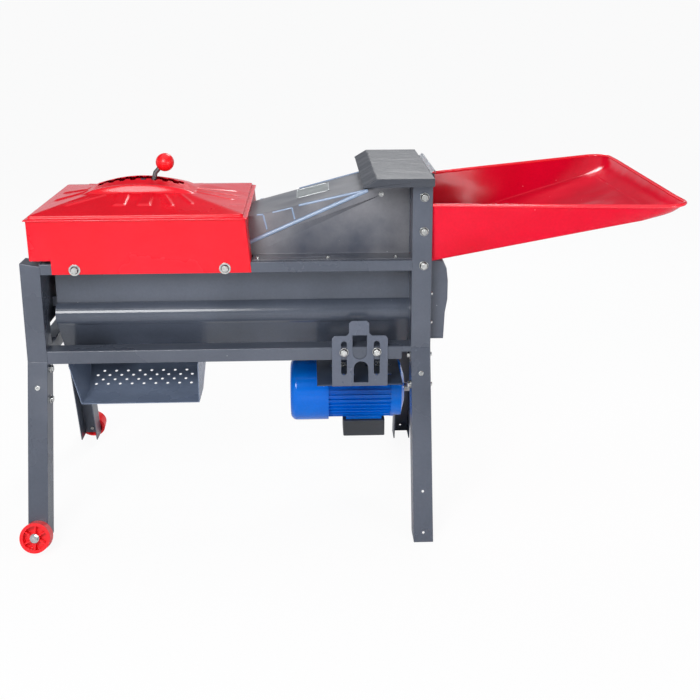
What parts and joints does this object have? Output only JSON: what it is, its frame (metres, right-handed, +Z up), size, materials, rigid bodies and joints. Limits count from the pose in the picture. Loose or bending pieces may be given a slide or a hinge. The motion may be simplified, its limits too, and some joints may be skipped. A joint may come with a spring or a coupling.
{
  "type": "maize threshing machine",
  "caption": "Household maize sheller on splayed channel legs with wheels at one end, pressed lid, flared feed tray, grain chute and a belt-driven electric motor hung below.",
  "frame": {"origin": "on the floor, under the middle of the machine's overall length and width", "axes": "+X towards the feed tray, +Y away from the side with the pictured chute mouth, +Z up"},
  "size_m": [1.6414, 0.783, 0.9561],
  "materials": {
    "grey_paint": "dark slate grey paint, semi gloss",
    "red_paint": "bright red gloss paint",
    "red_plastic": "bright red moulded plastic",
    "blue_paint": "royal blue gloss paint",
    "iron": "dark cast iron",
    "zinc": "zinc plated steel",
    "belt_rubber": "black rubber",
    "clear_curtain": "milky clear plastic sheet",
    "black_plastic": "dark matt plastic",
    "plate_alu": "plain satin aluminium"
  },
  "bodies": {
    "frame": {"belt_guard": "grey_paint", "cob_slide": "grey_paint", "concave_screen": "grey_paint", "cross_rails": "grey_paint", "far_casing_panel": "grey_paint", "far_left_leg": "grey_paint", "far_left_post": "grey_paint", "far_lower_rail": "grey_paint", "far_right_leg": "grey_paint", "far_right_post": "grey_paint", "far_upper_rail": "grey_paint", "feed_cover": "grey_paint", "feed_tray": "red_paint", "frame_bolts": "zinc", "grain_pan": "grey_paint", "head_cap": "grey_paint", "kernel_chute": "grey_paint", "left_end_plate": "grey_paint", "leg_bolts": "zinc", "leg_connectors": "grey_paint", "lid": "red_paint", "lid_bolts": "zinc", "lid_brackets": "grey_paint", "near_casing_panel": "grey_paint", "near_left_leg": "grey_paint", "near_left_post": "grey_paint", "near_lower_rail": "grey_paint", "near_right_leg": "grey_paint", "near_right_post": "grey_paint", "near_upper_rail": "grey_paint", "pivot_rods": "zinc", "rating_plate": "plate_alu", "right_end_plate": "grey_paint", "rotor_bearings": "iron", "small_bolts": "zinc", "v_belt": "belt_rubber", "wheel_bolts": "zinc"},
    "rotor": {"rotor_shaft": "zinc", "drum": "grey_paint", "drum_pegs": "grey_paint", "drum_pulley": "iron"},
    "cradle": {"cradle_shelf": "grey_paint", "near_cradle_plate": "grey_paint", "far_cradle_plate": "grey_paint", "motor_body": "blue_paint", "motor_end_shield": "blue_paint", "motor_fan_cover": "blue_paint", "motor_bolts": "zinc", "junction_box": "black_plastic"},
    "motor_rotor": {"motor_shaft": "zinc", "motor_fan": "black_plastic", "motor_pulley": "iron"},
    "lever": {"lever": "zinc", "lever_knob": "red_plastic"},
    "link": {"link_rod": "zinc"},
    "gate": {"cob_gate": "grey_paint"},
    "near_wheel": {"near_wheel": "red_plastic"},
    "far_wheel": {"far_wheel": "red_plastic"},
    "curtain": {"splash_curtain": "clear_curtain"}
  },
  "joints": [
    {"name": "rotor_spin", "type": "hinge", "parent": "frame", "child": "rotor", "pos_m": [-0.30775, 0, 0.6], "axis": [1, 0, 0], "continuous": true},
    {"name": "cradle_slide", "type": "slide", "parent": "frame", "child": "cradle", "axis": [0, 0, 1], "range_m": [0, 0.03], "deforming": ["v_belt"]},
    {"name": "motor_spin", "type": "hinge", "parent": "cradle", "child": "motor_rotor", "pos_m": [0.04225, 0, 0.288], "axis": [1, 0, 0], "continuous": true},
    {"name": "lever_swing", "type": "hinge", "parent": "frame", "child": "lever", "pos_m": [-0.53275, 0, 0.785], "axis": [0, 1, 0], "range_deg": [-60, 20]},
    {"name": "link_swing", "type": "hinge", "parent": "lever", "child": "link", "pos_m": [-0.51907, 0.0085, 0.82259], "axis": [0, 1, 0], "range_deg": [-20, 60]},
    {"name": "gate_swing", "type": "hinge", "parent": "frame", "child": "gate", "pos_m": [-0.71275, 0, 0.785], "axis": [0, 1, 0], "range_deg": [-60, 20]},
    {"name": "near_wheel_spin", "type": "hinge", "parent": "frame", "child": "near_wheel", "pos_m": [-0.78275, -0.34792, 0.03635], "axis": [0, -0.9565, 0.2916], "continuous": true},
    {"name": "far_wheel_spin", "type": "hinge", "parent": "frame", "child": "far_wheel", "pos_m": [-0.78275, 0.34792, 0.03635], "axis": [0, 0.9565, 0.2916], "continuous": true},
    {"name": "curtain_swing", "type": "hinge", "parent": "frame", "child": "curtain", "pos_m": [0.22725, 0, 0.917], "axis": [0, 1, 0], "range_deg": [-20, 20]}
  ],
  "couplings": [
    {"joint": "motor_spin", "follows": "rotor_spin", "ratio": 2.2368},
    {"joint": "link_swing", "follows": "lever_swing", "ratio": -1},
    {"joint": "gate_swing", "follows": "lever_swing", "ratio": 1}
  ]
}
